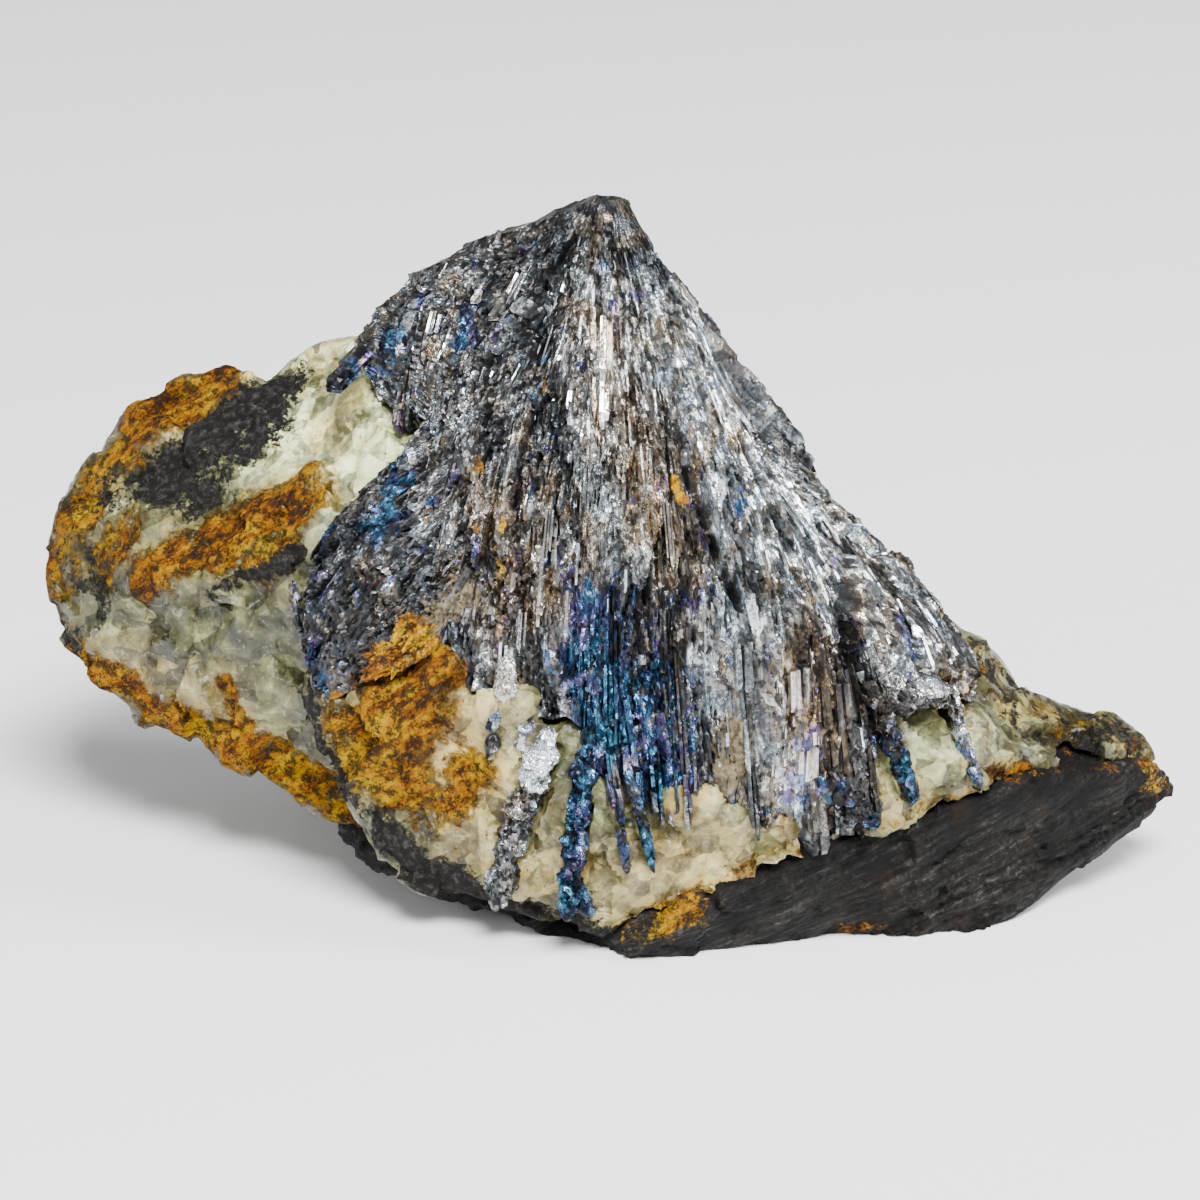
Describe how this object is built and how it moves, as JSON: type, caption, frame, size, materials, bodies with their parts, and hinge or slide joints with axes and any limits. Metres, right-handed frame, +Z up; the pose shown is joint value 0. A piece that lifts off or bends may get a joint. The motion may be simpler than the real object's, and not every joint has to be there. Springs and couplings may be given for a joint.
{
  "type": "stibnite crystal spray",
  "caption": "Fan-shaped spray of dark metallic stibnite blades on pale quartz and black slate with orange limonite stain, a free-standing mineral specimen.",
  "frame": {"origin": "on the flat broken face that the specimen rests on, under the centre of the stibnite spray", "axes": "+X along the specimen towards the low slate tail, +Y from the front of the spray to its back, +Z up from the resting face"},
  "size_m": [0.0816, 0.0339, 0.0496],
  "materials": {
    "stibnite": null,
    "quartz": null,
    "slate": null
  },
  "bodies": {
    "root": {"stibnite_spray": "stibnite", "silver_blade": "stibnite", "left_needle": "stibnite", "front_needle": "stibnite", "quartz_vein": "quartz", "slate_base": "slate"}
  },
  "joints": []
}
